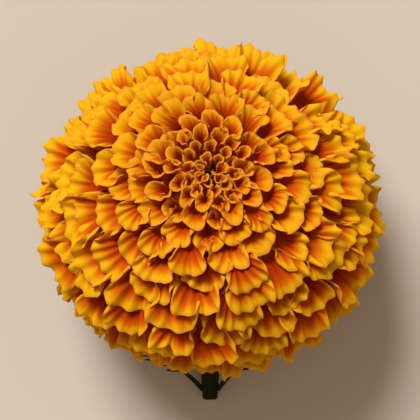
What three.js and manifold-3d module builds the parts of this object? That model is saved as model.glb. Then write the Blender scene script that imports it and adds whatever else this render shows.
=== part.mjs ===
// African marigold flower, cut with a short stem and lying on its drooping back petals.
// Millimetres, +Z up. The origin is on the surface, under the middle of the flower.
// The open face looks up and leans to +Y; the stem bends under the head and ends at -Y.
import * as THREE from "three";
import { mergeVertices } from "three/addons/utils/BufferGeometryUtils.js";
import Module from "manifold-3d";

const wasm = await Module();
wasm.setup();

const { clamp, degToRad, lerp } = THREE.MathUtils;

// Head, in its own frame: its axis is +Z and its widest ring is at z = 0
const headRadius = 44.4;
const faceHeight = 29;
const backDepth = 39;
const eyeDip = 3.5; // how deep the eye lies in the face
const eyeRadius = 8;
const backEnd = 141; // degrees from the axis to the last drooping tips

// Dense middle that the florets stand out of
const coreRadius = 33;
const coreTop = 18;
const coreUnderside = 12;

// How the head lies
const headLean = degToRad(17);
const headCentre = new THREE.Vector3(0, 4.3, 32.5);
const flatSpot = 0.12; // how deep the surface flattens what rests on it

// Florets
const spread = 1.34; // how much wider apart than life they stand, so that fewer cover the head
const petalThickness = 0.8;
const goldenAngle = Math.PI * (3 - Math.sqrt(5));
const quillEnd = 19; // those nearer the axis than this many degrees are rolled into quills
const quillSides = 5;

// How florets change with their angle from the axis, in degrees and millimetres
const zone = {
  angle: [0, 12, 25, 45, 70, 95, 140],
  spacing: [2.9, 4.1, 6.4, 7.9, 8.6, 9, 9.4],
  width: [2.6, 4.4, 8.4, 11.6, 13.4, 14.2, 14.6],
  limb: [2.5, 3.8, 6, 8.6, 10, 10.8, 11.5],
  tipLean: [2, 28, 55, 80, 100, 120, 150],
  curl: [340, 330, 190, 120, 80, 60, 50],
};

// Rows of points along a ray floret, from its root to its edge
const rayRows = [
  { along: 0, points: 1, width: 0.2, pleat: 0 },
  { along: 0.5, points: 3, width: 0.5, pleat: 0 },
  { along: 0.8, points: 5, width: 0.9, pleat: 0.4 },
  { along: 1, points: 5, width: 1, pleat: 0.8 },
];
const edgeRounding = 0.1; // how far the corners of the edge draw back, as a share of the floret

// Green cup under the head, in the head's frame
const cupFoot = -25.3;
const cupRim = -8;
const cupFloor = -12.4;
const cupFootRadius = 4.3;
const cupRadius = 9;
const cupWall = 1.1;
const cupRibs = 8;
const toothHeight = 0.8;
const fitGap = 0.3;

// Stem
const stemBend = 7.2; // radius of its bend under the cup
const stemReach = 52.3; // from the head's centre to the cut end, along -Y
const stemRadii = [4.3, 3.7, 3.4, 3.3, 3.2, 2.9, 2.25]; // at even steps from the cup to the end
const stemSides = 16;
const bendSteps = 5;
const runSteps = 6;

// The two small leaves by the cut end
const leafLength = 19;
const leafThickness = 0.8;
const leafStalk = 1.4; // width of the stalk at its foot
const leafRib = 0.9; // width left along the middle between the leaflets
const leafFoot = 4.2; // from the cut end to a leaf's foot
const leafRise = 8;
const leafletPairs = [
  { along: 0.36, reach: 2.6 },
  { along: 0.56, reach: 3.1 },
  { along: 0.76, reach: 2.3 },
];

// A repeatable random number from 0 to 1
let seed = 20731;
function draw() {
  seed = (seed + 0x6d2b79f5) | 0;
  let t = Math.imul(seed ^ (seed >>> 15), 1 | seed);
  t = (t + Math.imul(t ^ (t >>> 7), 61 | t)) ^ t;
  return ((t ^ (t >>> 14)) >>> 0) / 4294967296;
}
const vary = (amount) => amount * (2 * draw() - 1);

// The value at a place on a row of stops, with straight lines between them
function between(stops, values, place) {
  let i = 1;
  while (i < stops.length - 1 && place > stops[i]) i++;
  const share = clamp((place - stops[i - 1]) / (stops[i] - stops[i - 1]), 0, 1);
  return lerp(values[i - 1], values[i], share);
}
const at = (row, angle) => between(zone.angle, zone[row], angle);

// A place on a dome with its own depth above and below, as radius and height
function domePlace(angle, radius, top, underside) {
  const a = degToRad(angle);
  const height = (angle < 90 ? top : underside) * Math.cos(a);
  return { radius: radius * Math.sin(a) ** (angle < 90 ? 1 : 0.9), height };
}

// The place of a floret's tip, with the dip round the eye
function tipPlace(angle) {
  const { radius, height } = domePlace(angle, headRadius, faceHeight, backDepth);
  return { radius, height: height - eyeDip * Math.exp(-((radius / eyeRadius) ** 2)) };
}

// The angles of all florets from the axis, so that each has its own patch of the head
function floretAngles() {
  const angles = [];
  const step = 0.1;
  let patches = 0;
  for (let angle = step; angle < backEnd; angle += step) {
    const here = tipPlace(angle);
    const before = tipPlace(angle - step);
    const run = Math.hypot(here.radius - before.radius, here.height - before.height);
    patches += (2 * Math.PI * here.radius * run) / (spread * at("spacing", angle)) ** 2;
    if (patches >= angles.length + 1) angles.push(angle);
  }
  return angles;
}

// A point of the head's frame, lifted to the surface that the head lies on if it is under it
const worldUp = new THREE.Vector3(0, -Math.sin(headLean), Math.cos(headLean));
function aboveSurface(point, least) {
  const height = headCentre.z + point.dot(worldUp);
  return height < least ? point.addScaledVector(worldUp, least - height) : point;
}

// A floret's middle line from its root in the core to its tip, and the direction across it
function floretLine(angle, turn) {
  const outward = new THREE.Vector3(Math.cos(turn), Math.sin(turn), 0);
  const across = new THREE.Vector3(-Math.sin(turn), Math.cos(turn), 0);
  const pointAt = ({ radius, height }) => outward.clone().multiplyScalar(radius).setZ(height);
  const lean = degToRad(at("tipLean", angle) + vary(6));
  const limb = outward.clone().multiplyScalar(Math.sin(lean)).setZ(Math.cos(lean));
  const tip = pointAt(tipPlace(angle)).addScaledVector(across, vary(0.8));
  const knee = tip.clone().addScaledVector(limb, -at("limb", angle));
  const coreSkin = pointAt(domePlace(angle, coreRadius, coreTop, coreUnderside));
  const root = coreSkin.multiplyScalar(0.84);
  return { line: new THREE.QuadraticBezierCurve3(root, knee, tip), across };
}

// A geometry from points and triangles
function meshOf(points, triangles) {
  const coordinates = points.flatMap((p) => p.toArray());
  return new THREE.BufferGeometry()
    .setAttribute("position", new THREE.Float32BufferAttribute(coordinates, 3))
    .setIndex(triangles.flat());
}

// A solid from a closed geometry
function solidOf(geometry) {
  geometry.deleteAttribute("normal");
  geometry.deleteAttribute("uv");
  const merged = mergeVertices(geometry, 1e-4);
  const vertProperties = merged.attributes.position.array;
  const triVerts = new Uint32Array(merged.index.array);
  return new wasm.Manifold(new wasm.Mesh({ numProp: 3, vertProperties, triVerts }));
}

// A geometry from a solid
function geometryOf(solid) {
  const { numProp, numVert, vertProperties, triVerts } = solid.getMesh();
  const pointAt = (_, i) => new THREE.Vector3().fromArray(vertProperties, i * numProp);
  return meshOf(Array.from({ length: numVert }, pointAt), Array.from(triVerts));
}

// The outer skin of a joined solid: sealed hollows are filled and loose scraps dropped
function outerBody(solid) {
  const bodies = solid.decompose().sort((a, b) => b.volume() - a.volume());
  return bodies[0].simplify(0.02);
}

// What is below the surface, as a block
function belowSurface() {
  return new THREE.BoxGeometry(200, 200, 60).translate(0, 0, -30);
}

// A closed skin over rings of equally many points, closed at the middles of its two ends
function loft(rings) {
  const count = rings[0].length;
  const points = rings.flat();
  const middle = (ring) => {
    const sum = ring.reduce((total, p) => total.add(p), new THREE.Vector3());
    return sum.divideScalar(count);
  };
  const first = points.push(middle(rings[0])) - 1;
  const last = points.push(middle(rings.at(-1))) - 1;
  const end = (rings.length - 1) * count;
  const triangles = [];
  for (let i = 0; i < count; i++) {
    const j = (i + 1) % count;
    for (let a = 0; a < end; a += count) {
      const b = a + count;
      triangles.push([a + i, a + j, b + j], [a + i, b + j, b + i]);
    }
    triangles.push([first, j, i], [last, end + i, end + j]);
  }
  return meshOf(points, triangles);
}

// Triangles between two rows of points that may differ in number, from side to side in step
function stitch(rowA, rowB) {
  const triangles = [];
  const shareOf = (row, i) => (i < row.length ? i / (row.length - 1) : 2);
  let i = 0;
  let j = 0;
  while (i + 1 < rowA.length || j + 1 < rowB.length) {
    if (shareOf(rowA, i + 1) < shareOf(rowB, j + 1)) {
      triangles.push([rowA[i], rowB[j], rowA[i + 1]]);
      i++;
    } else {
      triangles.push([rowA[i], rowB[j], rowB[j + 1]]);
      j++;
    }
  }
  return triangles;
}

// A thin closed blade over rows of points with their normals, split alike on both faces
function blade(rows, thickness) {
  const points = [];
  const face = (side) =>
    rows.map((row) =>
      row.map(({ point, normal }) => {
        points.push(point.clone().addScaledVector(normal, (side * thickness) / 2));
        return points.length - 1;
      }),
    );
  const rim = (side) => [
    ...side[0],
    ...side.slice(1, -1).map((row) => row.at(-1)),
    ...side.at(-1).slice().reverse(),
    ...side.slice(1, -1).map((row) => row[0]).reverse(),
  ];
  const top = face(1);
  const bottom = face(-1);
  const triangles = [];
  for (let r = 0; r + 1 < rows.length; r++) {
    triangles.push(...stitch(top[r], top[r + 1]));
    triangles.push(...stitch(bottom[r], bottom[r + 1]).map(([a, b, c]) => [a, c, b]));
  }
  const upper = rim(top);
  const lower = rim(bottom);
  upper.forEach((a, i) => {
    const j = (i + 1) % upper.length;
    triangles.push([a, lower[j], lower[i]], [a, upper[j], lower[j]]);
  });
  return meshOf(points, triangles);
}

// A fan-shaped ray floret: a narrow claw that opens into a cupped limb with a pleated edge
function rayFloret(angle, turn) {
  const { line, across } = floretLine(angle, turn);
  const fullWidth = at("width", angle) * (1 + vary(0.08));
  const curl = degToRad(at("curl", angle) + vary(12));
  const twist = vary(0.2);
  const phase = draw() < 0.5 ? 1 : -1;
  const rows = rayRows.map(({ along, points, width, pleat }) => {
    const halfBend = (curl * width) / 2;
    const arcRadius = (fullWidth * width) / (2 * halfBend);
    return Array.from({ length: points }, (_, i) => {
      const side = points > 1 ? (2 * i) / (points - 1) - 1 : 0;
      const place = along === 1 ? 1 - edgeRounding * side * side : along;
      const forward = line.getTangent(place);
      const sideways = across.clone().applyAxisAngle(forward, twist * along);
      const inward = new THREE.Vector3().crossVectors(forward, sideways);
      const bend = side * halfBend;
      const wave = phase * pleat * (i % 2 ? 1 : -1);
      const point = line
        .getPoint(place)
        .addScaledVector(sideways, arcRadius * Math.sin(bend))
        .addScaledVector(inward, arcRadius * (1 - Math.cos(bend)) + wave);
      const normal = inward
        .clone()
        .multiplyScalar(Math.cos(bend))
        .addScaledVector(sideways, -Math.sin(bend));
      const least = (petalThickness / 2) * Math.abs(normal.dot(worldUp)) - flatSpot;
      return { point: aboveSurface(point, least), normal };
    });
  });
  return solidOf(blade(rows, petalThickness));
}

// A rolled floret: a slim funnel with an open, uneven mouth
function quillFloret(angle, turn) {
  const { line, across } = floretLine(angle, turn);
  const mouth = (at("width", angle) * (1 + vary(0.12))) / 2;
  const ring = (along, radius, wave) => {
    const forward = line.getTangent(along);
    const inward = new THREE.Vector3().crossVectors(forward, across);
    return Array.from({ length: quillSides }, (_, i) => {
      const a = (2 * Math.PI * i) / quillSides;
      return line
        .getPoint(along)
        .addScaledVector(across, radius * Math.cos(a))
        .addScaledVector(inward, radius * Math.sin(a))
        .addScaledVector(forward, wave * (i % 2 ? 1 : -1));
    });
  };
  return solidOf(
    loft([
      ring(0, 0.8, 0),
      ring(0.6, mouth * 0.5 + 0.3, 0),
      ring(1, mouth, 0.35),
      ring(0.98, mouth - 0.55, 0.35),
      ring(0.75, 0.25, 0),
    ]),
  );
}

// The dense middle as a turned form, with a plug that sits in the green cup
function coreSolid() {
  const plugRadius = cupRadius - cupWall - fitGap;
  const shoulder = cupRim + toothHeight + 0.5;
  const profile = [
    new THREE.Vector2(0, cupFloor + fitGap),
    new THREE.Vector2(plugRadius, cupFloor + fitGap),
    new THREE.Vector2(plugRadius, shoulder),
    new THREE.Vector2(cupRadius + 2, shoulder),
  ];
  for (let angle = 152; angle > 0; angle -= 19) {
    const { radius, height } = domePlace(angle, coreRadius, coreTop, coreUnderside);
    profile.push(new THREE.Vector2(radius, height));
  }
  profile.push(new THREE.Vector2(0, coreTop));
  return solidOf(new THREE.LatheGeometry(profile, 24).rotateX(Math.PI / 2));
}

// The head's frame
const head = new THREE.Group();
head.rotation.x = -headLean;
head.position.copy(headCentre);
head.updateMatrix();

// The head: the core and all florets in one body, flattened where it rests
function bloomGeometry() {
  const florets = floretAngles().map((angle, i) => {
    const turn = i * goldenAngle;
    return angle < quillEnd ? quillFloret(angle, turn) : rayFloret(angle, turn);
  });
  const ground = solidOf(belowSurface().applyMatrix4(head.matrix.clone().invert()));
  return geometryOf(outerBody(wasm.Manifold.union([coreSolid(), ...florets]).subtract(ground)));
}

// The green cup: ribbed outside, with a toothed rim and a round recess for the florets' roots
function cupGeometry() {
  const count = cupRibs * 4;
  const inside = cupRadius - cupWall;
  const ring = (radius, height, rib, tooth) =>
    Array.from({ length: count }, (_, i) => {
      const a = (2 * Math.PI * i) / count;
      const wave = Math.cos(a * cupRibs);
      const r = radius + rib * wave;
      return new THREE.Vector3(r * Math.cos(a), r * Math.sin(a), height + tooth * wave);
    });
  return loft([
    ring(cupFootRadius, cupFoot, 0.1, 0),
    ring(5.4, cupFoot + 2, 0.2, 0),
    ring(7.2, cupFoot + 5, 0.3, 0),
    ring(8.3, cupFoot + 9, 0.3, 0),
    ring(cupRadius - 0.3, cupRim - 2.5, 0.3, 0),
    ring(cupRadius, cupRim, 0.1, toothHeight),
    ring(inside, cupRim, 0, toothHeight),
    ring(inside, cupFloor, 0, 0),
  ]);
}

// The stem: out of the cup along the head's axis, round the bend and level along the surface
function stemGeometry() {
  const start = new THREE.Vector3(0, 0, cupFoot - fitGap).applyMatrix4(head.matrix);
  const fall = Math.PI / 2 - headLean; // the slope at the cup
  const bendLength = stemBend * fall;
  const bendEnd = start.y - stemBend * Math.sin(fall);
  const end = headCentre.y - stemReach;
  const radiusAt = (length) => {
    const place = (length / (bendLength + bendEnd - end)) * (stemRadii.length - 1);
    return between([...stemRadii.keys()], stemRadii, place);
  };
  const ring = (y, z, slope, radius) => {
    const upper = new THREE.Vector3(0, -Math.sin(slope), Math.cos(slope));
    return Array.from({ length: stemSides }, (_, i) => {
      const a = (2 * Math.PI * i) / stemSides;
      return new THREE.Vector3(radius * Math.cos(a), y, z).addScaledVector(upper, radius * Math.sin(a));
    });
  };
  const rings = [];
  for (let i = 0; i < bendSteps; i++) {
    const slope = fall * (1 - i / bendSteps);
    const radius = radiusAt((bendLength * i) / bendSteps);
    const y = start.y - stemBend * (Math.sin(fall) - Math.sin(slope));
    const z = start.z - stemBend * (Math.cos(slope) - Math.cos(fall));
    rings.push(ring(y, Math.max(z, radius * Math.cos(slope) - flatSpot), slope, radius));
  }
  for (let i = 0; i <= runSteps; i++) {
    const y = lerp(bendEnd, end + 0.8, i / runSteps);
    const radius = radiusAt(bendLength + bendEnd - y);
    rings.push(ring(y, radius - flatSpot, 0, radius));
  }
  const last = stemRadii.at(-1);
  rings.push(ring(end, last - flatSpot, 0, last * 0.72));
  return geometryOf(outerBody(solidOf(loft(rings)).subtract(solidOf(belowSurface()))));
}

// A small leaf cut to its rib into narrow leaflets, arching up from the stem
function leafGeometry(side, heading) {
  const outline = new THREE.Shape();
  const edge = (along, out) => outline.lineTo(along, out);
  const leaflet = ({ along, reach }, hand) => {
    const start = along * leafLength;
    return [
      [start, (hand * leafRib) / 2],
      [start + 0.9 * reach, hand * (reach + 0.3)],
      [start + 1.3 * reach, hand * reach],
      [start + 2.1, (hand * leafRib) / 2],
    ];
  };
  outline.moveTo(0, -leafStalk / 2);
  leafletPairs.forEach((pair) => leaflet(pair, -1).forEach((p) => edge(...p)));
  edge(0.95 * leafLength, -leafRib);
  edge(leafLength, 0);
  edge(0.95 * leafLength, leafRib);
  leafletPairs
    .slice()
    .reverse()
    .forEach((pair) => leaflet(pair, 1).reverse().forEach((p) => edge(...p)));
  edge(0, leafStalk / 2);
  const flat = new THREE.ExtrudeGeometry(outline, { depth: leafThickness, bevelEnabled: false });
  const place = flat.attributes.position;
  for (let i = 0; i < place.count; i++) {
    const along = place.getX(i) / leafLength;
    const rise = leafRise * Math.sin((along * Math.PI) / 2) + 0.06 * place.getY(i) ** 2;
    place.setX(i, place.getX(i) * Math.cos(0.35 * along));
    place.setZ(i, place.getZ(i) + rise);
  }
  const stemRadius = stemRadii.at(-2);
  const foot = side * (stemRadius + fitGap + 0.25);
  flat.rotateZ(degToRad(heading));
  return geometryOf(solidOf(flat.translate(foot, headCentre.y - stemReach + leafFoot, stemRadius)));
}

// The whole flower
function look(color, roughness) {
  return new THREE.MeshStandardMaterial({ color, roughness, metalness: 0 });
}

function named(name, geometry, material) {
  const mesh = new THREE.Mesh(geometry, material);
  mesh.name = name;
  return mesh;
}

head.add(named("bloom", bloomGeometry(), look(0xf29a0c, 0.6)));
head.add(named("calyx", cupGeometry(), look(0x4d6b2c, 0.6)));

const flower = new THREE.Group();
flower.add(head);
flower.add(named("stem", stemGeometry(), look(0x2f4a22, 0.55)));
flower.add(named("leaf_left", leafGeometry(-1, 142), look(0x1f3a1c, 0.6)));
flower.add(named("leaf_right", leafGeometry(1, 52), look(0x1f3a1c, 0.6)));

export default flower;
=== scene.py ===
# African marigold flower lying on a pale surface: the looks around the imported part
import math

import bpy
import numpy as np
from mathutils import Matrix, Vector


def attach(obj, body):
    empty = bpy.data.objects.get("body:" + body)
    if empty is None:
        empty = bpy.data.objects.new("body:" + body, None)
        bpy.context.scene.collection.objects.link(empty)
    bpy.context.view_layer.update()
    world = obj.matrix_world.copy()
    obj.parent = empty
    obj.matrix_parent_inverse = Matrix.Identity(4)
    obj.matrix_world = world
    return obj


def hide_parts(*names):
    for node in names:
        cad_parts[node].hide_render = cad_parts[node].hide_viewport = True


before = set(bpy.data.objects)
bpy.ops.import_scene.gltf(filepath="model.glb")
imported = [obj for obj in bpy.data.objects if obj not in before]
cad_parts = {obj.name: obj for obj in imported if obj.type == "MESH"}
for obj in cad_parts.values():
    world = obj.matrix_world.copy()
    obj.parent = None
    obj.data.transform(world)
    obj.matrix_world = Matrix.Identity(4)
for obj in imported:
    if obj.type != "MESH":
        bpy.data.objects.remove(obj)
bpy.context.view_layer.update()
mm = 0.001  # the dictionaries hold millimetres and degrees, Blender holds metres

# How the head lies, as in the part's source. The side towards the stem is drawn in, in full at drawnInAt from
# the axis. The eye is shifted, in full at shiftHeight, and not at all past the second distance of shiftFades.
pose = {
    "lean": 17,
    "centre": (0, 4.3, 32.5),
    "drawnIn": 0.055,
    "drawnInAt": 36,
    "eyeShift": 2.0,
    "shiftHeight": 25,
    "shiftFades": (8, 40),
}


def smooth(low, high, x):  # 0 below low and 1 above high, and t * t * (3 - 2t) between
    t = np.clip((x - low) / (high - low), 0, 1)
    return t * t * (3 - 2 * t)


def turned(x, y, z, turn):  # points turned round the upright axis: x cos - y sin and x sin + y cos
    c, s = np.cos(turn), np.sin(turn)
    return np.stack(np.broadcast_arrays(x * c - y * s, x * s + y * c, z), -1)


def headToWorld(points):  # leans points of the head's own frame, then moves them to its centre
    lean = math.radians(pose["lean"])
    x, y, z = np.moveaxis(points, -1, 0)
    y, z = y * math.cos(lean) + z * math.sin(lean), z * math.cos(lean) - y * math.sin(lean)
    return np.stack((x, y, z), -1) + np.array(pose["centre"])


def drawIn(points):  # y shrinks on the side towards the stem and grows by the eye's shift in front
    x, y, z = np.moveaxis(points, -1, 0)
    flat = 1 - pose["drawnIn"] * smooth(0, pose["drawnInAt"], -y)
    fade = 1 - smooth(*pose["shiftFades"], np.hypot(x, y))
    shift = pose["eyeShift"] * smooth(0, pose["shiftHeight"], z) * fade
    return np.stack((x, y * flat + shift, z), -1)


def restOnSurface(points, least):  # where z is less than 1 over least, it becomes least + exp(z - least - 1)
    z = points[..., 2] - least
    eased = np.where(z < 1, np.exp(np.minimum(z, 1) - 1), z) + least
    return np.concatenate((points[..., :2], eased[..., None]), -1)


def unitNormals(grids):  # the cross product of each grid's two slopes, made 1 long
    normal = np.cross(np.gradient(grids, axis=1), np.gradient(grids, axis=2))
    return normal / np.maximum(np.linalg.norm(normal, axis=-1, keepdims=True), 1e-9)


def seededNoise(seed, count):  # noise(amount) draws a number from -amount to amount for each of count forms
    rng = np.random.default_rng(seed)

    def noise(amount):
        return (amount * rng.uniform(-1, 1, count))[:, None, None]

    return noise


def makeMesh(name, points, faces, values):  # points in millimetres; values hold a number for each vertex
    # An edge with "rim" at both ends is sharp, so the two sides of a petal meet and keep their own shading
    mesh = bpy.data.meshes.new(name)
    mesh.vertices.add(len(points))
    mesh.vertices.foreach_set("co", (points * mm).astype(np.float32).ravel())
    corners = np.concatenate([f.ravel() for f in faces])
    counts = np.concatenate([np.full(len(f), f.shape[1]) for f in faces])
    mesh.loops.add(len(corners))
    mesh.loops.foreach_set("vertex_index", corners.astype(np.int32))
    mesh.polygons.add(len(counts))
    mesh.polygons.foreach_set("loop_start", (np.cumsum(counts) - counts).astype(np.int32))
    mesh.update(calc_edges=True)
    mesh.validate()
    mesh.polygons.foreach_set("use_smooth", np.ones(len(mesh.polygons), bool))
    for key, numbers in values.items():
        layer = mesh.attributes.new(key, "FLOAT", "POINT")
        layer.data.foreach_set("value", numbers.astype(np.float32).ravel())
    if "rim" in values:
        ends = np.zeros(2 * len(mesh.edges), np.int32)
        mesh.edges.foreach_get("vertices", ends)
        onRim = values["rim"].ravel()[ends].reshape(-1, 2).min(1) > 0.5
        mesh.attributes.new("sharp_edge", "BOOLEAN", "EDGE").data.foreach_set("value", onRim)
    piece = bpy.data.objects.new(name, mesh)
    bpy.context.collection.objects.link(piece)
    return piece


def place(piece, node, material):  # what each finished piece needs
    piece.data.materials.append(material)
    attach(piece, "root")
    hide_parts(node)
    print(piece.name, len(piece.data.polygons), "faces")


def gridQuads(rows, columns):  # faces of a grid of rows by columns points
    i = np.arange((rows - 1) * columns).reshape(rows - 1, columns)[:, :-1].ravel()
    return np.stack((i, i + columns, i + columns + 1, i + 1), -1)


def closedSheets(upper, lower, values):
    # The two grids of each form share the points of their rim, halfway between them, so the form is one thin
    # closed body. Values get "back", from 0 above to 1 below, and "rim", 1 where the sides meet.
    count, rows, columns = upper.shape[:3]
    onRim = np.ones((rows, columns), bool)
    onRim[1:-1, 1:-1] = False
    onRim = onRim.ravel()
    upperIndex = np.arange(rows * columns)
    lowerIndex = np.where(onRim, upperIndex, rows * columns + np.cumsum(~onRim) - 1)
    quads = gridQuads(rows, columns)
    faces = np.concatenate((upperIndex[quads], lowerIndex[quads][:, ::-1]))
    above, below = upper.reshape(count, -1, 3), lower.reshape(count, -1, 3)
    above = np.where(onRim[None, :, None], (above + below) / 2, above)
    points = np.concatenate((above, below[:, ~onRim]), 1)
    perForm = points.shape[1]
    allFaces = (faces[None] + (np.arange(count) * perForm)[:, None, None]).reshape(-1, 4)
    sheets = {}
    for key, numbers in values.items():
        flat = numbers.reshape(count, -1)
        sheets[key] = np.concatenate((flat, flat[:, ~onRim]), 1)
    back = np.concatenate((np.where(onRim, 0.5, 0), np.ones((~onRim).sum())))
    sheets["back"] = np.broadcast_to(back, (count, perForm))
    sheets["rim"] = np.broadcast_to(back == 0.5, (count, perForm)).astype(float)
    return points.reshape(-1, 3), allFaces, sheets


def closedRings(rings, first, last):  # a skin over rings of points, closed at a point beyond each end
    count, sides = rings.shape[:2]
    i = np.arange(sides)
    j = (i + 1) % sides
    starts = (np.arange(count - 1) * sides)[:, None]
    walls = np.stack((starts + i, starts + j, starts + sides + j, starts + sides + i), -1).reshape(-1, 4)
    end, tip = (count - 1) * sides, count * sides
    foot = np.stack((np.full_like(i, tip), j, i), -1)
    top = np.stack((np.full_like(i, tip + 1), end + i, end + j), -1)
    return np.concatenate((rings.reshape(-1, 3), [first], [last])), [walls, np.concatenate((foot, top))]


def ringOf(radius, height, turn):  # rings round the head's axis
    return np.stack((radius * np.cos(turn), radius * np.sin(turn), height + 0 * turn), -1)


# Shader nodes. A Wire is an output socket, and arithmetic on it adds Math nodes.
class Wire:
    def __init__(self, paint, socket):
        self.paint, self.socket = paint, socket

    def calc(self, operation, *values):
        return self.paint.add("Math", {"operation": operation}, dict(enumerate(values)))

    def __add__(self, other):
        return self.calc("ADD", self, other)

    def __radd__(self, other):
        return self.calc("ADD", other, self)

    def __sub__(self, other):
        return self.calc("SUBTRACT", self, other)

    def __rsub__(self, other):
        return self.calc("SUBTRACT", other, self)

    def __mul__(self, other):
        return self.calc("MULTIPLY", self, other)

    def __rmul__(self, other):
        return self.calc("MULTIPLY", other, self)

    def __abs__(self):
        return self.calc("ABSOLUTE", self)

    def sine(self):
        return self.calc("SINE", self)

    def rise(self, low, high):  # 0 below low to 1 above high, smoothly
        limits = {0: self, 1: low, 2: high, 3: 0, 4: 1}
        return self.paint.add("MapRange", {"interpolation_type": "SMOOTHSTEP"}, limits)


class Paint:
    def __init__(self, name):
        self.material = bpy.data.materials.new(name)
        self.material.use_nodes = True
        self.nodes = self.material.node_tree.nodes
        self.links = self.material.node_tree.links
        self.shader = self.nodes["Principled BSDF"]

    def feed(self, socket, value):
        if isinstance(value, Wire):
            self.links.new(value.socket, socket)
        elif socket.type == "RGBA":
            socket.default_value = (*value, 1)
        else:
            socket.default_value = value

    def add(self, kind, settings, sockets, output=0):  # a node of any kind, its sockets by name or number
        node = self.nodes.new("ShaderNode" + kind)
        for key, value in settings.items():
            setattr(node, key, value)
        for key, value in sockets.items():
            self.feed(node.inputs[key], value)
        return Wire(self, node.outputs[output])

    def where(self):  # the piece's own coordinates
        return self.add("TexCoord", {}, {}, "Object")

    def number(self, name):  # what the mesh holds for each vertex under that name
        return self.add("Attribute", {"attribute_name": name}, {}, "Fac")

    def grain(self, where, scale, detail, roughness=0.5):
        sockets = {"Vector": where, "Scale": scale, "Detail": detail, "Roughness": roughness}
        return self.add("TexNoise", {"noise_dimensions": "3D"}, sockets)

    def cells(self, where, scale):
        return self.add("TexVoronoi", {"feature": "F1"}, {"Vector": where, "Scale": scale})

    def bump(self, height, strength, distance):
        return self.add("Bump", {}, {"Height": height, "Strength": strength, "Distance": distance})

    def blend(self, first, second, share):  # share 0 gives the first colour and 1 the second
        return self.add("Mix", {"data_type": "RGBA"}, {0: share, 6: first, 7: second}, 2)

    def finish(self, sockets):
        for key, value in sockets.items():
            self.feed(self.shader.inputs[key], value)
        return self.material


# Green cup under the head. Its profile runs up the outside from the foot to the rim, then down inside to the
# floor.
calyx = {
    "rim": -8,
    "height": (-25.3, -24.4, -23.3, -20.3, -16.3, -12, -9.6, -8.2, -8, -8.4, -10.4, -12.4),
    "radius": (4.0, 4.8, 5.4, 7.2, 8.3, 8.75, 8.9, 9.0, 8.6, 8.0, 7.9, 7.9),
    "rib": (0.05, 0.14, 0.2, 0.3, 0.34, 0.3, 0.22, 0.12, 0.05, 0, 0, 0),
    "tooth": (0, 0, 0, 0, 0, 0, 0.3, 0.8, 1.0, 0.8, 0.1, 0),
    "ribs": 8,
    "sharpRib": 0.3,
    "rings": 56,
    "sides": 128,
    "dark": (0.03, 0.055, 0.012),
    "light": (0.11, 0.16, 0.03),
    "glands": (0.12, 0.06, 0.012),
    "blotchScale": 220.0,
    "glandScale": 1100.0,
}


def calyxSurface():  # the profile turned round the axis, with ribs outside and a tooth on each rib
    stops = np.arange(len(calyx["height"]))
    u = np.linspace(0, stops[-1], calyx["rings"])[:, None]
    turn = np.linspace(0, 2 * np.pi, calyx["sides"], endpoint=False)[None]
    wave = np.cos(calyx["ribs"] * turn)
    sharp = calyx["sharpRib"]
    ridge = (1 - sharp) * wave + sharp * np.cos(2 * calyx["ribs"] * turn) ** 3

    def stop(key):
        return np.interp(u, stops, calyx[key])

    rings = ringOf(stop("radius") + stop("rib") * ridge, stop("height") + stop("tooth") * wave, turn)
    points, faces = closedRings(rings, (0, 0, calyx["height"][0]), (0, 0, calyx["height"][-1]))
    raised = np.append((0.5 + 0.5 * ridge + 0 * u).ravel(), (0, 0))
    return headToWorld(points), faces, {"ridge": raised}


def calyxPaint():  # blotched green, lighter on the ribs, with small brown oil glands
    paint = Paint("green cup")
    where = paint.where()
    blotch = paint.grain(where, calyx["blotchScale"], 4.0)
    glands = paint.cells(where, calyx["glandScale"]).rise(0.12, 0.3)
    light = blotch.rise(0.35, 0.7) * 0.6 + paint.number("ridge") * 0.4
    colour = paint.blend(calyx["dark"], calyx["light"], light)
    colour = paint.blend(calyx["glands"], colour, glands * 0.5 + 0.5)
    height = blotch * 0.5 + glands * 0.5
    return paint.finish({
        "Base Color": colour,
        "Roughness": 0.5 + blotch * 0.2,
        "Normal": paint.bump(height, 0.4, 0.0004),
    })


# The dense middle that the florets grow from, as a turned form
core = {
    "radius": 35.5,
    "top": 19,
    "underside": 15,
    "angleRange": (165, 4),
    "cupRoom": (9, 18),
    "lumps": 0.5,
    "flutes": 19,
    "fluteDepth": 1.5,
    "fluteStarts": (9.5, 13),
    "rings": 32,
    "sides": 304,
    "dark": (0.26, 0.03, 0.001),
    "light": (0.56, 0.12, 0.003),
    "spotScale": 260.0,
    "specular": 0.03,
}


def coreSurface():
    # A dome that is flat in front and flatter behind, drawn up round the green cup. Low lumps are a product
    # of sines. Behind, flutes stand out from it as the root of |sin| of the turn, like the claws of the last
    # florets.
    angle = np.linspace(*core["angleRange"], core["rings"])[:, None]
    turn = np.linspace(0, 2 * np.pi, core["sides"], endpoint=False)[None]
    a = np.radians(angle)
    radius = core["radius"] * np.sin(a)
    height = np.where(angle < 90, core["top"], core["underside"]) * np.cos(a)
    aside = smooth(*core["cupRoom"], radius)
    height = np.where(angle < 90, height, height * aside + calyx["rim"] * (1 - aside) + 1)
    lumps = core["lumps"] * np.sin(9 * turn + 3 * a) * np.sin(14 * a) * np.sin(a)
    flute = np.sqrt(np.abs(np.sin(core["flutes"] * turn + 0.5 * np.sin(5 * turn) + 0.6 * np.sin(3 * a))))
    reached = smooth(*core["fluteStarts"], radius) * smooth(90, 120, angle)
    height = height - core["fluteDepth"] * flute * reached
    rings = ringOf(radius + lumps, height, turn)
    points, faces = closedRings(rings, (0, 0, height[0].mean()), (0, 0, core["top"]))
    return headToWorld(drawIn(points)), faces, {"ridge": np.append(flute + 0 * radius, (0, 0))}


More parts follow.
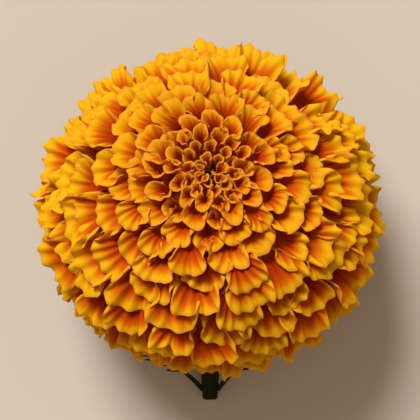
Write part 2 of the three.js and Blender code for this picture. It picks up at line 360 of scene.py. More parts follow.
def corePaint():  # spotted dark orange, lighter on the flutes
    paint = Paint("floret bases")
    spots = paint.grain(paint.where(), core["spotScale"], 4.0)
    light = spots.rise(0.35, 0.65) * 0.4 + paint.number("ridge").rise(0.3, 1.0) * 0.6
    return paint.finish({
        "Base Color": paint.blend(core["dark"], core["light"], light),
        "Roughness": 0.8,
        "Specular IOR Level": core["specular"],
        "Normal": paint.bump(spots, 0.6, 0.001),
    })


# The florets. Rows of nine hold values at the angles from the head's axis in "angle", from the eye to the
# back. A grid is the claw's rows, the limb's rows and the columns across. A name that ends in Varies says how
# much a floret may differ from the rule, each way.
bloom = {
    "seed": 57,
    "headRadius": 43.6,
    "faceHeight": 29,
    "backDepth": 38.6,
    "backBulge": 0.9,  # power of the sine behind
    "eyeDip": 3.5,  # depth, fading over eyeRadius
    "eyeRadius": 8,
    "angleRange": (5, 155),
    "leastAngle": 4,
    "firstRing": 0.3,  # of a row step
    "ringTurn": 0.53,  # of a floret's step, from ring to ring
    "turnVaries": 0.14,  # of a floret's step
    "angleVaries": (0.32, 1.2),  # at 5 degrees and from 60 degrees
    "stemFrom": 125,  # no florets behind this angle and within roundStem of the stem
    "roundStem": 13,
    "nearEye": 27,  # where the grids change, as behind does
    "behind": 104,
    "pieces": 4,
    "eyeGrid": (4, 12, 31),
    "frontGrid": (4, 14, 55),
    "backGrid": (4, 12, 27),
    "angle": (0, 12, 18, 25, 45, 70, 95, 140, 156),
    "apart": (3.0, 4.5, 5.6, 8.0, 13.2, 14.6, 14.8, 14.2, 12),
    "rowStep": (2.6, 3.6, 4.3, 5.0, 5.4, 5.7, 6.0, 6.3, 6.3),
    "limb": (2.2, 3.2, 4.3, 7, 10.4, 12.8, 13.2, 12.8, 8.5),  # length of the rays
    "throat": (0.5, 0.6, 0.8, 1.2, 1.9, 2.2, 2.3, 2.3, 1.9),  # radius
    "wrap": (345, 338, 318, 222, 178, 164, 154, 146, 150),  # how far a floret goes round its axis
    "axisLean": (1, 10, 15, 20, 34, 52, 72, 122, 152),  # of the mouth's axis, from the head's
    "frontFlare": (36, 46, 54, 62, 66, 62, 58, 50, 44),
    "sideFlare": (30, 34, 36, 28, 24, 26, 30, 32, 30),
    "sideShort": (0.06, 0.08, 0.1, 0.42, 0.6, 0.62, 0.62, 0.6, 0.5),  # share lost at the sides
    "flareLate": (1.6, 1.5, 1.3, 1.1, 0.8, 0.7, 0.7, 0.7, 0.7),  # power of s
    "rootAngle": (0, 12, 18, 25, 44, 66, 88, 118, 148),
    "pleats": (0.03, 0.05, 0.08, 0.15, 0.32, 0.38, 0.38, 0.36, 0.3),
    "frill": (0.3, 0.5, 0.7, 1.0, 1.4, 1.6, 1.7, 1.6, 1.2),
    "red": (0.0, 0.0, 0.01, 0.03, 0.02, 0.04, 0.08, 0.18, 0.2),  # how far the throat's colour reaches
    "lined": (1, 1, 1, 0.85, 0.5, 0.25, 0.2, 0.3, 0.3),  # 1 tints the rim all round
    # painted shade: how much redder and darker the florets on the head's lower side are painted, away from
    # the key light
    "paintedShadeBelow": 0.28,
    "thickness": 0.2,
    "clawThick": 0.4,  # more at the root
    "offSurface": 0.3,
    "mostWrap": 346,
    "upperOpens": 0.3,  # share of wrap that closed florets lose on the upper side
    "closedFrom": (200, 320),  # wraps between which a floret closes
    "wrapVaries": 0.08,
    "sideVaries": 0.16,
    "leanVaries": 5,
    "openLeanVaries": 8,
    "sizeVaries": 0.17,
    "flareVaries": 8,
    "dipVaries": 0.026,
    "roomVaries": 0.04,
    "shiftVaries": 0.5,
    "twistVaries": 0.3,
    "anyPhase": 3,  # of a wave, either way
    "creases": 6,  # across a floret, as lobes and ruffles are
    "lobes": 3,
    "ruffles": 3.6,
    "lobeDepth": (0.022, 0.025, 0.02),  # of creases, lobes and the whole edge
    "roundCorners": 0.75,
    "cornerPower": 2.6,
    "sideFrom": (0.42, 0.98),
    "notchDepth": 0.2,
    "notchWidth": 0.13,
    "throatFlare": 12,
    "flareGain": 1.12,
    "upperFlareLess": 20,
    "flareSway": (5, 3.5),
    "clawWidth": 0.55,
    "rootDepth": (0.83, 0.8),  # of the core's radius and height
    "room": 0.52,  # of the distance apart
}


def row(key, angle):
    return np.interp(angle, bloom["angle"], bloom[key])


def tipPlace(angle):  # a flat dome in front, a deep one behind, and a dip round the eye
    a = np.radians(angle)
    front = angle < 90
    radius = bloom["headRadius"] * np.sin(a) ** np.where(front, 1, bloom["backBulge"])
    height = np.where(front, bloom["faceHeight"], bloom["backDepth"]) * np.cos(a)
    return radius, height - bloom["eyeDip"] * np.exp(-((radius / bloom["eyeRadius"]) ** 2))


def floretPlaces():
    # Rings of florets lie a row step apart along the outline from the eye outwards. Each holds as many as its
    # girth has room for, and starts about half a step round from the last. Normal draws shift each floret.
    rng = np.random.default_rng(bloom["seed"])
    first, last = bloom["angleRange"]
    fine = np.arange(first, last, 0.05)
    radius, height = tipPlace(fine)
    passed = np.cumsum(np.hypot(np.gradient(radius), np.gradient(height)) / row("rowStep", fine))
    rings = np.interp(np.arange(bloom["firstRing"], passed[-1]), passed, fine)
    angles, turns = [], []
    for i, ring in enumerate(rings):
        count = max(3, round(2 * math.pi * tipPlace(ring)[0] / row("apart", ring)))
        share = (np.arange(count) + bloom["ringTurn"] * i) / count
        turns.append(2 * np.pi * (share + rng.normal(0, bloom["turnVaries"], count) / count))
        angles.append(ring + rng.normal(0, 1, count) * np.interp(ring, (5, 60), bloom["angleVaries"]))
    angles, turns = np.concatenate(angles), np.concatenate(turns)
    overStem = np.cos(turns + np.pi / 2) > math.cos(math.radians(bloom["roundStem"]))
    kept = ~((angles > bloom["stemFrom"]) & overStem)
    return np.clip(angles, bloom["leastAngle"], last)[kept], turns[kept]


def funnelRays(throat, slope, ray):
    # Each ray starts at the throat's radius and adds up its steps: outwards the sine of its slope, along the
    # axis the cosine
    between = (slope[:, 1:] + slope[:, :-1]) / 2
    step = ray / between.shape[1]
    still = np.zeros_like(slope[:, :1])
    radius = throat + np.concatenate((still, np.cumsum(np.sin(between), 1) * step), 1)
    return radius, np.concatenate((still, np.cumsum(np.cos(between), 1) * step), 1)


def clawCurve(root, throatOut, throatUp, axis, c):
    # From the root in the core to the throat: (1 - c)^2 root + 2c(1 - c) knee + c^2 throat. The knee lies
    # back from the throat along the mouth's axis by half of the way. The lean is the angle of the curve's
    # slope.
    share, upShare = bloom["rootDepth"]
    rootOut = core["radius"] * share * np.sin(root)
    rootUp = np.where(root < np.pi / 2, core["top"], core["underside"]) * upShare * np.cos(root)
    grip = 0.5 * np.hypot(throatOut - rootOut, throatUp - rootUp)
    kneeOut, kneeUp = throatOut - grip * np.sin(axis), throatUp - grip * np.cos(axis)
    out = (1 - c) ** 2 * rootOut + 2 * c * (1 - c) * kneeOut + c**2 * throatOut
    up = (1 - c) ** 2 * rootUp + 2 * c * (1 - c) * kneeUp + c**2 * throatUp
    goOut = (1 - c) * (kneeOut - rootOut) + c * (throatOut - kneeOut)
    goUp = (1 - c) * (kneeUp - rootUp) + c * (throatUp - kneeUp)
    return out, up, np.arctan2(goOut, goUp)


def floretSurfaces(angle, turn, seed, grid):
    # A floret is a grid. Its first rows are the claw, a narrow gutter along clawCurve. The others, with s
    # from 0 to 1, are the limb, a funnel of rays from the throat that lean away from the mouth's axis more
    # and more, most in front, and there less on the head's upper side. v runs from -1 to 1 across both, and
    # phi is v's turn round the axis. An open floret's rays are longest towards the corners of a square.
    # Lobes, a notch and rounded corners shape the edge. Pleats along the rays and a frill lift the limb along
    # its normal. An offset x to the side becomes x / (1 + (x / room)^6)^(1/6), which stands the sides up as
    # walls between neighbours. Half the thickness goes to each face, with a bead near the edge.
    clawRows, limbRows, columns = grid
    noise = seededNoise(seed, len(angle))
    phase = bloom["anyPhase"]

    def value(key):
        return row(key, angle)[:, None, None]

    def waves(number, sway):  # whole waves round the funnel, so many that about that number fit across
        whole = np.round((number + noise(sway)) * np.pi / wrap)
        return np.cos(whole * phi + noise(phase) + 0.6 * np.cos(phi + noise(phase)))

    swing, fromAxis = turn[:, None, None], angle[:, None, None]
    t = np.linspace(-1, 1, columns)[None, None, :]
    v = 1.3 * t - 0.3 * t**3
    s = np.linspace(0, 1, limbRows + 1)[None, :, None]
    above = smooth(-0.3, 0.9, np.sin(swing))
    wrap = value("wrap") * (1 - bloom["upperOpens"] * above * smooth(280, 338, value("wrap")))
    opened = 1 - smooth(*bloom["closedFrom"], wrap)
    wrap = wrap * (1 + noise(bloom["wrapVaries"]) * opened)
    wrap = np.radians(np.minimum(wrap, bloom["mostWrap"])) / 2
    phi = v * wrap + noise(bloom["sideVaries"]) * opened
    axis = value("axisLean") + noise(bloom["leanVaries"]) + noise(bloom["openLeanVaries"]) * opened
    axis = np.radians(axis)
    size = 1 + noise(bloom["sizeVaries"])
    crease = waves(bloom["creases"] + 2 * opened, 1.2)

    # Where each ray ends
    deep, middling, wide = bloom["lobeDepth"]
    lobes = deep * crease + middling * waves(bloom["lobes"], 0.6) + wide * np.cos(2 * phi + noise(phase))
    cornered = 1 - np.sqrt(np.maximum(1 - np.abs(v) ** 4, 0))
    rounded = 1 - bloom["roundCorners"] * opened * cornered
    squared = smooth(22, 55, fromAxis)
    power = bloom["cornerPower"]
    square = (abs(np.cos(phi)) ** power + abs(np.sin(phi)) ** power) ** (-1 / power)
    broad = 1 + squared * (square - 1)
    deepness = bloom["notchDepth"] * smooth(-0.4, 1, noise(1))
    notch = deepness * np.exp(-(((v - noise(0.5)) / bloom["notchWidth"]) ** 2)) * opened
    shorter = 1 - value("sideShort") * smooth(*bloom["sideFrom"], np.abs(v))
    edge = shorter * rounded * broad + lobes - notch

    # How far the rays flare
    front, side = (value(key) + noise(bloom["flareVaries"]) for key in ("frontFlare", "sideFlare"))
    twice, thrice = bloom["flareSway"]
    sway = twice * np.cos(2 * phi + noise(phase)) + thrice * np.cos(3 * phi + noise(phase))
    upper = smooth(0, 0.9, np.sin(swing))
    front = front - bloom["upperFlareLess"] * upper * smooth(35, 80, fromAxis)
    flareEnd = front + (side - front) * smooth(0.4 - 0.2 * (1 - squared), 1, np.abs(v)) + sway
    start = bloom["throatFlare"]
    flare = np.radians(start + (flareEnd * bloom["flareGain"] - start) * s ** value("flareLate"))
    squeeze = (0.2 + 0.2 * above) * np.cos(2 * phi + noise(1.6)) + 0.1 * np.cos(3 * phi + noise(phase))
    radius, height = funnelRays(value("throat"), flare, value("limb") * size * edge)
    radius = radius * (1 + (1 - opened) * squeeze * s)

    # The throat lies so that the limb's middle ends on the head's outline
    middle = columns // 2
    endOut, endUp = (form[:, -1:, middle : middle + 1] for form in (radius, height))
    tipOut, tipUp = (form[:, None, None] for form in tipPlace(angle))
    uneven = 1 + noise(bloom["dipVaries"])
    throatOut = tipOut * uneven - endOut * np.cos(axis) - endUp * np.sin(axis)
    throatUp = tipUp * uneven + endOut * np.sin(axis) - endUp * np.cos(axis)
    c = np.linspace(0, 1, clawRows + 1)[None, :-1, None]
    clawOut, clawUp, clawLean = clawCurve(np.radians(value("rootAngle")), throatOut, throatUp, axis, c)
    clawRadius = value("throat") * (bloom["clawWidth"] + (1 - bloom["clawWidth"]) * c) + 0 * v

    # Claw and limb as one grid in the head's frame
    def joined(claw, limb):
        return np.concatenate((claw, np.repeat(limb, limbRows + 1, 1)), 1)

    lean, out, up = joined(clawLean, axis), joined(clawOut, throatOut), joined(clawUp, throatUp)
    radius = np.concatenate((clawRadius, radius), 1)
    height = np.concatenate((0 * clawRadius, height), 1)
    along = np.concatenate(((c - 1) * 0.6, s), 1)
    grown = np.maximum(along, 0)
    around = phi + noise(bloom["twistVaries"]) * grown
    out = out + radius * np.cos(around) * np.cos(lean) + height * np.sin(lean)
    up = up - radius * np.cos(around) * np.sin(lean) + height * np.cos(lean)
    sideways = radius * np.sin(around)
    room = value("apart") * (bloom["room"] + noise(bloom["roomVaries"]))
    sideways = sideways / (1 + np.abs(sideways / room) ** 6) ** (1 / 6) + noise(bloom["shiftVaries"]) * grown
    middles = np.stack((out, sideways, up), -1)

    # Pleats run out along the rays, and the frill grows towards the edges
    pleat = value("pleats") * grown * (1.1 * crease + 0.3 * (2 * crease**2 - 1))
    ruffle = (0.26 + 0.3 * v**2 * opened) * grown**2.2 * waves(bloom["ruffles"] + opened, 0.8)
    wave = np.sin(2 * np.pi * (grown * 1.2 + noise(1)) + np.sign(v) * noise(2))
    frill = ruffle + 0.5 * grown**1.5 * np.abs(v) ** 3 * wave * opened
    middles = middles + unitNormals(middles) * (pleat + value("frill") * frill)[..., None]
    middles = turned(*np.moveaxis(middles, -1, 0), swing)
    middles = restOnSurface(headToWorld(drawIn(middles)), bloom["offSurface"])

    bead = np.maximum(smooth(0.72, 0.93, grown), smooth(0.78, 0.95, np.abs(v)))
    thicker = 1 + bloom["clawThick"] * (1 - grown) + bead
    half = unitNormals(middles) * (bloom["thickness"] / 2 * thicker)[..., None]
    # painted shade: the head's lower side, turned from the key light, gets more of the throat's dark red, and
    # the upper side a little less
    below = (smooth(-0.1, 0.9, -np.sin(swing)) - 0.08 * upper) * smooth(20, 60, fromAxis)
    values = {
        "along": along,
        "across": v,
        "tone": noise(0.5) + 0.5,
        "redderAndShadedBelow": value("red") + bloom["paintedShadeBelow"] * below * (1.2 - grown),
        "lined": value("lined"),
        "fold": crease,
    }
    values = {key: np.broadcast_to(numbers, middles.shape[:3]) for key, numbers in values.items()}
    return middles + half, middles - half, values


petal = {
    "throat": (0.33, 0.022, 0.001),
    "deep": (0.53, 0.064, 0.001),
    "orange": (0.73, 0.185, 0.002),
    "gold": (0.9, 0.51, 0.006),
    "rim": (0.86, 0.3, 0.055),
    # painted light: a faint glow in the throats for light bounced between petals
    "paintedBounceLight": (0.07, 0.007, 0.0),
    "glow": (0.9, 0.3, 0.01),
    "glowShare": 0.28,  # translucent
    "rimShare": 0.85,
    "lines": 30,
    "lineBump": 0.16,
    "specular": 0.03,
}


def petalPaint():
    # "reach" grows from throat to edge and picks the colour. Veins are noise drawn out along the petal, and
    # fine lines are the sine of the place across it. The creases and the fine lines shift the colour a
    # little, as painted shade in the pleats' troughs and painted light on their crests. The rim has a pale
    # tint, partly the petal's own colour and partly a painted highlight of thin edges that catch the light,
    # all round near the eye and only on the walls further out. An emission in the throats is painted light,
    # standing for light bounced between petals, and a translucent share lets light through the lips.
    paint = Paint("petal")
    names = ("along", "across", "tone", "back", "fold", "redderAndShadedBelow", "lined", "rim")
    along, across, tone, back, fold, redderAndShadedBelow, lined, rim = (paint.number(name) for name in names)
    drawnOut = paint.add("CombineXYZ", {}, {"X": across * 9 + tone * 40, "Y": along * 1.2, "Z": tone * 17})
    veins = paint.grain(drawnOut, 1.6, 3.0, 0.6)
    lines = (across * petal["lines"] + tone * 50 + veins * 2).sine() * along.rise(0.1, 0.6)
    # the creases (fold) and the fine lines shift the colour a little: painted shade in the pleats' troughs,
    # painted light on their crests
    reach = along + (tone - 0.5) * 0.12 + (veins - 0.5) * 0.16 + fold * 0.05 + lines * 0.04
    # the throat's red reaches further on the outer rows, and further on the head's lower side as painted
    # shade
    reach = reach + 0.024 - redderAndShadedBelow + back * 0.3
    colour = paint.blend(petal["throat"], petal["deep"], reach.rise(0.12, 0.5))
    colour = paint.blend(colour, petal["orange"], reach.rise(0.42, 0.72))
    golden = reach.rise(0.6, 0.9) * (1 - back * 0.6) * (1.3 - lined * 0.7)
    colour = paint.blend(colour, petal["gold"], golden)
    # the pale rim tint is partly the petal's own colour and partly a painted highlight of thin edges catching
    # the light
    edge = rim.rise(0.0, 0.6) * (lined + (1 - lined) * abs(across).rise(0.4, 0.75))
    colour = paint.blend(colour, petal["rim"], edge * along.rise(0.1, 0.3) * petal["rimShare"])
    paint.finish({
        "Base Color": colour,
        "Roughness": 0.5 + veins * 0.15,
        "Specular IOR Level": petal["specular"],
        "Normal": paint.bump(veins * 0.5 + lines * petal["lineBump"], 0.6, 0.0005),
        # painted light: the throats glow faintly, standing for light bounced between the petals
        "Emission Color": paint.blend(petal["paintedBounceLight"], (0.0, 0.0, 0.0), along.rise(-0.2, 0.5)),
        "Emission Strength": 1.0,
    })
    paint.material.cycles.emission_sampling = "NONE"
    glow = paint.add("BsdfTranslucent", {}, {"Color": petal["glow"]})
    share = along.rise(0.1, 0.7) * petal["glowShare"]
    mixed = paint.add("MixShader", {}, {0: share, 1: Wire(paint, paint.shader.outputs[0]), 2: glow})
    paint.feed(paint.nodes["Material Output"].inputs[0], mixed)
    return paint.material


petals = petalPaint()
angles, turns = floretPlaces()
near, behind = angles < bloom["nearEye"], angles > bloom["behind"]
groups = [(np.flatnonzero(near), bloom["eyeGrid"])]
groups += [(k, bloom["frontGrid"]) for k in np.array_split(np.flatnonzero(~near & ~behind), bloom["pieces"])]
groups.append((np.flatnonzero(behind), bloom["backGrid"]))
for i, (chosen, grid) in enumerate(groups):
    surfaces = floretSurfaces(angles[chosen], turns[chosen], bloom["seed"] + i, grid)
    points, faces, sheets = closedSheets(*surfaces)
    place(makeMesh(f"florets_{i + 1}", points, [faces], sheets), "bloom", petals)
    print("    of", len(chosen), "florets")

place(makeMesh("floret_bases", *coreSurface()), "bloom", corePaint())


# Buds of the last florets, still closed, in the eye of the head
eye = {
    "seed": 5,
    "count": 40,
    "goldenTurn": math.pi * (3 - math.sqrt(5)),
    "reach": 4.4,
    "length": 8.5,
    "width": 0.62,
    "sink": 4.6,
    "hollow": 0.06,  # rise with the square of the distance out
    "lean": 0.09,  # radians for a millimetre out
    "leanVaries": 0.14,
    "widthVaries": 0.25,
    "lengthVaries": 0.12,
    "sideVaries": 0.3,
    "heightVaries": 0.7,
    "lobes": 0.3,
    "rings": 12,
    "sides": 12,
    "dark": (0.03, 0.014, 0.003),
    "brown": (0.1, 0.05, 0.007),
    "tip": (0.7, 0.3, 0.01),
    "grainScale": 900.0,
}


def budSurfaces():
    # A bud is a slim closed form: its radius grows from the foot as 0.6 + 0.4u and falls as 1 - u^3 to a
    # blunt tip with three lobes. The buds stand a golden turn apart, each further out by the root of its
    # number.
    count = eye["count"]
    noise = seededNoise(eye["seed"], count)
    away = (eye["reach"] * np.sqrt((np.arange(count) + 0.5) / count))[:, None, None]
    turn = (np.arange(count) * eye["goldenTurn"])[:, None, None]
    u = np.linspace(0.02, 0.98, eye["rings"])[None, :, None]
    girth = np.linspace(0, 2 * np.pi, eye["sides"], endpoint=False)[None, None]
    radius = eye["width"] * (1 + noise(eye["widthVaries"])) * (0.6 + 0.4 * u) * (1 - u**3)
    radius = radius * (1 + eye["lobes"] * u * np.cos(3 * girth + noise(bloom["anyPhase"])))
    lean = eye["lean"] * away + noise(eye["leanVaries"])
    back = (u - 1) * eye["length"] * (1 + noise(eye["lengthVaries"]))
    out = away + back * np.sin(lean) + radius * np.cos(girth)
    side = radius * np.sin(girth) + noise(eye["sideVaries"])
    up = bloom["faceHeight"] - eye["sink"] + eye["hollow"] * away**2 + back * np.cos(lean)
    rings = drawIn(turned(out, side, up + noise(eye["heightVaries"]), turn))
    return rings, {"tone": noise(0.5) + 0.5, "along": u}


def joinedBuds():  # every bud closed at both ends, all in one mesh
    rings, values = budSurfaces()
    shapes = [closedRings(r, r[0].mean(0), r[-1].mean(0)) for r in rings]
    offset = len(shapes[0][0])
    points = headToWorld(np.concatenate([shape[0] for shape in shapes]))
    faces = [np.concatenate([shape[1][k] + i * offset for i, shape in enumerate(shapes)]) for k in (0, 1)]
    sheets = {}
    for key, numbers in values.items():
        flat = np.broadcast_to(numbers, rings.shape[:3]).reshape(len(rings), -1)
        sheets[key] = np.concatenate((flat, flat[:, :1], flat[:, -1:]), 1)
    return points, faces, sheets


def budPaint():  # mottled dark brown, and the tips of the ripest buds turn orange
    paint = Paint("closed florets")
    grain = paint.grain(paint.where(), eye["grainScale"], 3.0)
    dark = paint.blend(eye["dark"], eye["brown"], grain.rise(0.35, 0.7))
    ripe = paint.number("tone").rise(0.55, 0.9) * paint.number("along").rise(0.5, 0.9)
    return paint.finish({
        "Base Color": paint.blend(dark, eye["tip"], ripe),
        "Roughness": 0.55,
        "Normal": paint.bump(grain, 0.5, 0.0003),
    })


place(makeMesh("closed_florets", *joinedBuds()), "bloom", budPaint())
place(makeMesh("calyx_cup", *calyxSurface()), "calyx", calyxPaint())


# Stem. "radius" runs from the cup to the cut end. The last rings lie at cutPlace from the end, and cutTaper
# is their share of the radius.
stalk = {
    "bend": 7.2,
    "reach": 51.8,
    "radius": (4.3, 3.6, 3.2, 2.95, 2.75, 2.5, 2.0),
    "ribs": 9,
    "ribDepth": 0.16 / 3,  # of the radius
    "ribTwist": 0.03,
    "bendRings": 24,
    "runRings": 60,
    "sides": 72,
    "gap": 0.3,
    "flat": 0.12,  # how deep the underside is pressed flat
    "cutStart": 1.1,
    "cutPlace": (0.6, 0.25, 0.06, 0, 0.02, 0.14, 0.3),
    "cutTaper": (0.99, 0.95, 0.88, 0.78, 0.66, 0.42, 0.12),
    "cutHollow": 0.02,
    "dark": (0.004, 0.008, 0.001),
    "light": (0.018, 0.024, 0.004),
    "pithDark": (0.05, 0.06, 0.02),
    "pith": (0.16, 0.17, 0.07),
    "streakScale": (900.0, 60.0, 900.0),
    "poreScale": 1400.0,
    "specular": 0.1,
}


def stemSurface():
    # Rings along the head's axis, round a bend of even radius and level to the cut end, with lengthwise ribs.
    # The underside is flat where it lies on the surface.
    bendRadius = stalk["bend"]
    slopeAtCup = math.pi / 2 - math.radians(pose["lean"])
    start = headToWorld(np.array((0, 0, calyx["height"][0] - stalk["gap"])))
    bendEnd = start[1] - bendRadius * math.sin(slopeAtCup)
    end = pose["centre"][1] - stalk["reach"]
    bend = slopeAtCup * np.linspace(1, 0, stalk["bendRings"], endpoint=False)
    run = np.linspace(bendEnd, end + stalk["cutStart"], stalk["runRings"])
    cut = np.array(stalk["cutPlace"])
    slope = np.concatenate((bend, 0 * run, 0 * cut))
    y = np.concatenate((start[1] - bendRadius * (math.sin(slopeAtCup) - np.sin(bend)), run, end + cut))
    full = bendRadius * slopeAtCup + bendEnd - end
    passed = (bendRadius * (slopeAtCup - bend), bendRadius * slopeAtCup + bendEnd - run, full + 0 * cut)
    stops = np.linspace(0, full, len(stalk["radius"]))
    radius = np.interp(np.concatenate(passed), stops, stalk["radius"])
    radius[-len(cut) :] *= stalk["cutTaper"]
    curved = start[2] - bendRadius * (np.cos(slope) - math.cos(slopeAtCup))
    z = np.where(slope > 0, curved, radius - stalk["flat"])
    z[-len(cut) :] = stalk["radius"][-1] - stalk["flat"]
    z = np.maximum(z, radius * np.cos(slope) - stalk["flat"])
    turn = np.linspace(0, 2 * np.pi, stalk["sides"], endpoint=False)[None]
    slope, y, z = slope[:, None], y[:, None], z[:, None]
    wave = np.cos(stalk["ribs"] * turn + stalk["ribTwist"] * y)
    ribbed = radius[:, None] * (1 - stalk["ribDepth"] * (0.5 - 0.5 * wave))
    upward = ribbed * np.sin(turn)
    rings = np.stack((ribbed * np.cos(turn), y - upward * np.sin(slope), z + upward * np.cos(slope)), -1)
    rings[..., 2] = np.maximum(rings[..., 2], 0)
    onCut = np.where(np.arange(len(y)) >= len(y) - len(cut) + 2, 1.0, 0.0)
    points, faces = closedRings(rings, rings[0].mean(0), rings[-1].mean(0) + (0, stalk["cutHollow"], 0))
    ridges = np.append((0.5 + 0.5 * wave).ravel(), (0, 0))
    return points, faces, {"ridge": ridges, "cut": np.append(np.repeat(onCut, stalk["sides"]), (0, 1))}


def stemPaint():  # dark green streaks drawn out along the stem, and paler porous pith on the cut face
    paint = Paint("stem skin")
    where = paint.where()
    lengthwise = paint.add("Mapping", {}, {"Vector": where, "Scale": stalk["streakScale"]})
    streaks = paint.grain(lengthwise, 1.0, 4.0)
    pores = paint.cells(where, stalk["poreScale"])
    light = streaks.rise(0.3, 0.7) * 0.7 + paint.number("ridge") * 0.3
    skin = paint.blend(stalk["dark"], stalk["light"], light)
    pith = paint.blend(stalk["pithDark"], stalk["pith"], pores.rise(0.1, 0.5))
    cut = paint.number("cut").rise(0.3, 0.8)
    height = streaks * (1 - cut) + pores * cut
    return paint.finish({
        "Base Color": paint.blend(skin, pith, cut),
        "Roughness": 0.5 + streaks * 0.2,
        "Specular IOR Level": stalk["specular"],
        "Normal": paint.bump(height, 0.5, 0.0003),
    })


place(makeMesh("cut_stem", *stemSurface()), "stem", stemPaint())


# Leaves. A pair of leaflets has its place along the leaf, its length, its width and its angle from the rib.
leaf = {
    "pair": (("leaf_left", -1, 131), ("leaf_right", 1, 53)),  # node, side and heading
    "foot": (2.95, -43.6, 2.6),  # of the right leaf
    "length": 18,
    "start": -0.09,
    "ribEnd": 0.86,
    "stalk": 1.25,
    "rib": 0.7,
    "ribHigh": 0.35,
    "leaflets": (
        (0.36, 3.8, 0.85, 39.6),
        (0.52, 4.6, 1.0, 36),
        (0.68, 4.6, 1.05, 32.4),
        (0.82, 3.8, 0.9, 25.2),
    ),
    "tip": (0.84, 4.0, 1.1),
    "teeth": 6,
    "toothDepth": 0.16,  # of the half width
    "leastHalf": 0.06,
    "fold": 0.28,
    "droop": 1.5,
    "cupped": 0.05,
    "thickness": 0.36,
    "rise": 7,
    "bow": 4.6,
    "curl": 0.35,
    "rows": 25,
    "columns": 9,
    "dark": (0.003, 0.009, 0.002),
    "light": (0.01, 0.022, 0.004),
    "veins": (0.02, 0.036, 0.009),
    "back": (0.02, 0.03, 0.011),
    "blotchScale": 500.0,
    "specular": 0.15,
}


def leafSurface(side, heading):
    # Each leaflet is a blade: its half width rises and falls along it as a power of a sine, with teeth on
    # the edge and a fold along the middle. The rib is one more blade. All are laid out flat, bowed outwards
    # by the square of the place along the leaf, and arched up by a sine of it.
    u = np.linspace(0, 1, leaf["rows"])[None, :, None]
    v = np.linspace(-1, 1, leaf["columns"])[None, None, :]
    along, length, width, spread = np.array(leaf["leaflets"]).T
    tipAlong, tipLength, tipWidth = leaf["tip"]
    ribLength = leaf["length"] * (leaf["ribEnd"] - leaf["start"])

    def blades(left, right, tip, rib):
        return np.concatenate((left, right, (tip, rib)))[:, None, None]

    start = blades(along, along, tipAlong, leaf["start"]) * leaf["length"]
    length = blades(length, length, tipLength, ribLength)
    width = blades(width, width, tipWidth, 0)
    turn = np.radians(blades(spread, -spread, 0, 0))
    isRib = blades(0 * along, 0 * along, 0, 1) > 0
    teeth = 1 + leaf["toothDepth"] * (1 - 2 * np.abs((u * leaf["teeth"]) % 1 - 0.5)) * smooth(0.1, 0.3, u)
    half = width / 2 * np.sin(np.pi * np.clip(u, 0.04, 1) ** 0.8) ** 0.75 * teeth + leaf["leastHalf"]
    ribHalf = leaf["stalk"] / 2 * (1 - u) + leaf["rib"] / 2 * u * (1 - u**3) + 0.04
    half = np.where(isRib, ribHalf, half)
    x = start + u * length * np.cos(turn) - v * half * np.sin(turn)
    y = u * length * np.sin(turn) + v * half * np.cos(turn)
    fold = leaf["fold"] * np.abs(v) * half - leaf["droop"] * (u * length / leaf["length"]) ** 2 * (turn != 0)
    fold = np.where(isRib, leaf["ribHigh"] * (1 - v**2) * (1 - 0.6 * u), fold)
    share = x / leaf["length"]
    z = leaf["rise"] * np.sin(share * np.pi / 2) + leaf["cupped"] * y**2 + fold + leaf["thickness"]
    y = y - side * leaf["bow"] * share**2
    x = x * np.cos(leaf["curl"] * share)
    middles = turned(x, y, z, math.radians(heading)) + np.array(leaf["foot"]) * (side, 1, 1)
    shift = unitNormals(middles) * leaf["thickness"] / 2
    values = {"across": np.broadcast_to(v, x.shape), "along": np.broadcast_to(u, x.shape)}
    points, faces, sheets = closedSheets(middles + shift, middles - shift, values)
    return points, [faces], sheets


def leafPaint():  # dark green blotches, slanting side veins as a sine, and a paler back and middle rib
    paint = Paint("leaf")
    along, across, back = paint.number("along"), paint.number("across"), paint.number("back")
    blotch = paint.grain(paint.where(), leaf["blotchScale"], 4.0)
    veins = abs((along * 40 - abs(across) * 9).sine()).rise(0.0, 0.25)
    rib = abs(across).rise(0.0, 0.14)
    colour = paint.blend(leaf["dark"], leaf["light"], blotch.rise(0.3, 0.7))
    colour = paint.blend(leaf["veins"], colour, rib * (0.6 + veins * 0.4))
    return paint.finish({
        "Base Color": paint.blend(colour, leaf["back"], back * 0.5),
        "Roughness": 0.5 + blotch * 0.2,
        "Specular IOR Level": leaf["specular"],
        "Normal": paint.bump(rib * 0.5 + veins * 0.5, 0.4, 0.0003),
    })


leafGreen = leafPaint()
for node, side, heading in leaf["pair"]:
    place(makeMesh(node + "_blade", *leafSurface(side, heading)), node, leafGreen)


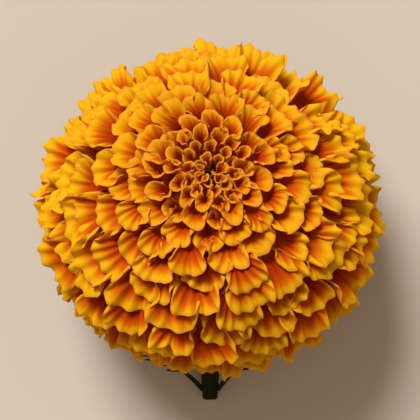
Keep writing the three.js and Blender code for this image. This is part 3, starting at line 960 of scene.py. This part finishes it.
# Stage: the floor, one soft key light, an even fill, and the camera straight above
stage = {
    "lookAt": (0, 4.2, 32.5),
    "distance": 500,
    "viewWidth": 108,
    "sensor": 36,
    "floorSize": 4,
    "floor": (0.567, 0.5, 0.406),
    "keyTurn": 26,
    "keyRise": 46,
    "keyStrength": 3.72,
    "keySoftness": 25,
    "keyColour": (0.97, 0.99, 1.0),
    "fill": 0.4,
    "fillColour": (1.0, 0.81, 0.61),
}


def makeFloor():  # one pale square under the flower
    bpy.ops.mesh.primitive_plane_add(size=stage["floorSize"], location=(0, 0, 0))
    floor = bpy.context.object
    floor.name = "floor"
    material = Paint("pale surface").finish({"Base Color": stage["floor"], "Roughness": 0.85})
    floor.data.materials.append(material)


def makeLights():  # the key's direction is a turn to the left of the picture's top, and a rise over the floor
    key = bpy.data.objects.new("key", bpy.data.lights.new("key", "SUN"))
    key.data.energy = stage["keyStrength"]
    key.data.color = stage["keyColour"]
    key.data.angle = math.radians(stage["keySoftness"])
    turn, rise = math.radians(stage["keyTurn"]), math.radians(stage["keyRise"])
    towards = Vector((-math.sin(turn) * math.cos(rise), math.cos(turn) * math.cos(rise), math.sin(rise)))
    key.rotation_euler = towards.to_track_quat("Z", "Y").to_euler()
    bpy.context.collection.objects.link(key)
    world = bpy.data.worlds.new("soft light")
    world.use_nodes = True
    world.node_tree.nodes["Background"].inputs["Color"].default_value = (*stage["fillColour"], 1)
    world.node_tree.nodes["Background"].inputs["Strength"].default_value = stage["fill"]
    bpy.context.scene.world = world


def makeCamera():  # a lens of sensor * distance / width shows that width at the head's middle
    camera = bpy.data.objects.new("camera", bpy.data.cameras.new("camera"))
    camera.data.sensor_width = stage["sensor"]
    camera.data.lens = stage["sensor"] * stage["distance"] / stage["viewWidth"]
    camera.data.clip_end = 10
    camera.location = (Vector(stage["lookAt"]) + Vector((0, 0, stage["distance"]))) * mm
    bpy.context.collection.objects.link(camera)
    bpy.context.scene.camera = camera
    bpy.context.scene.view_settings.view_transform = "Standard"


makeFloor()
makeLights()
makeCamera()
print("stage made")
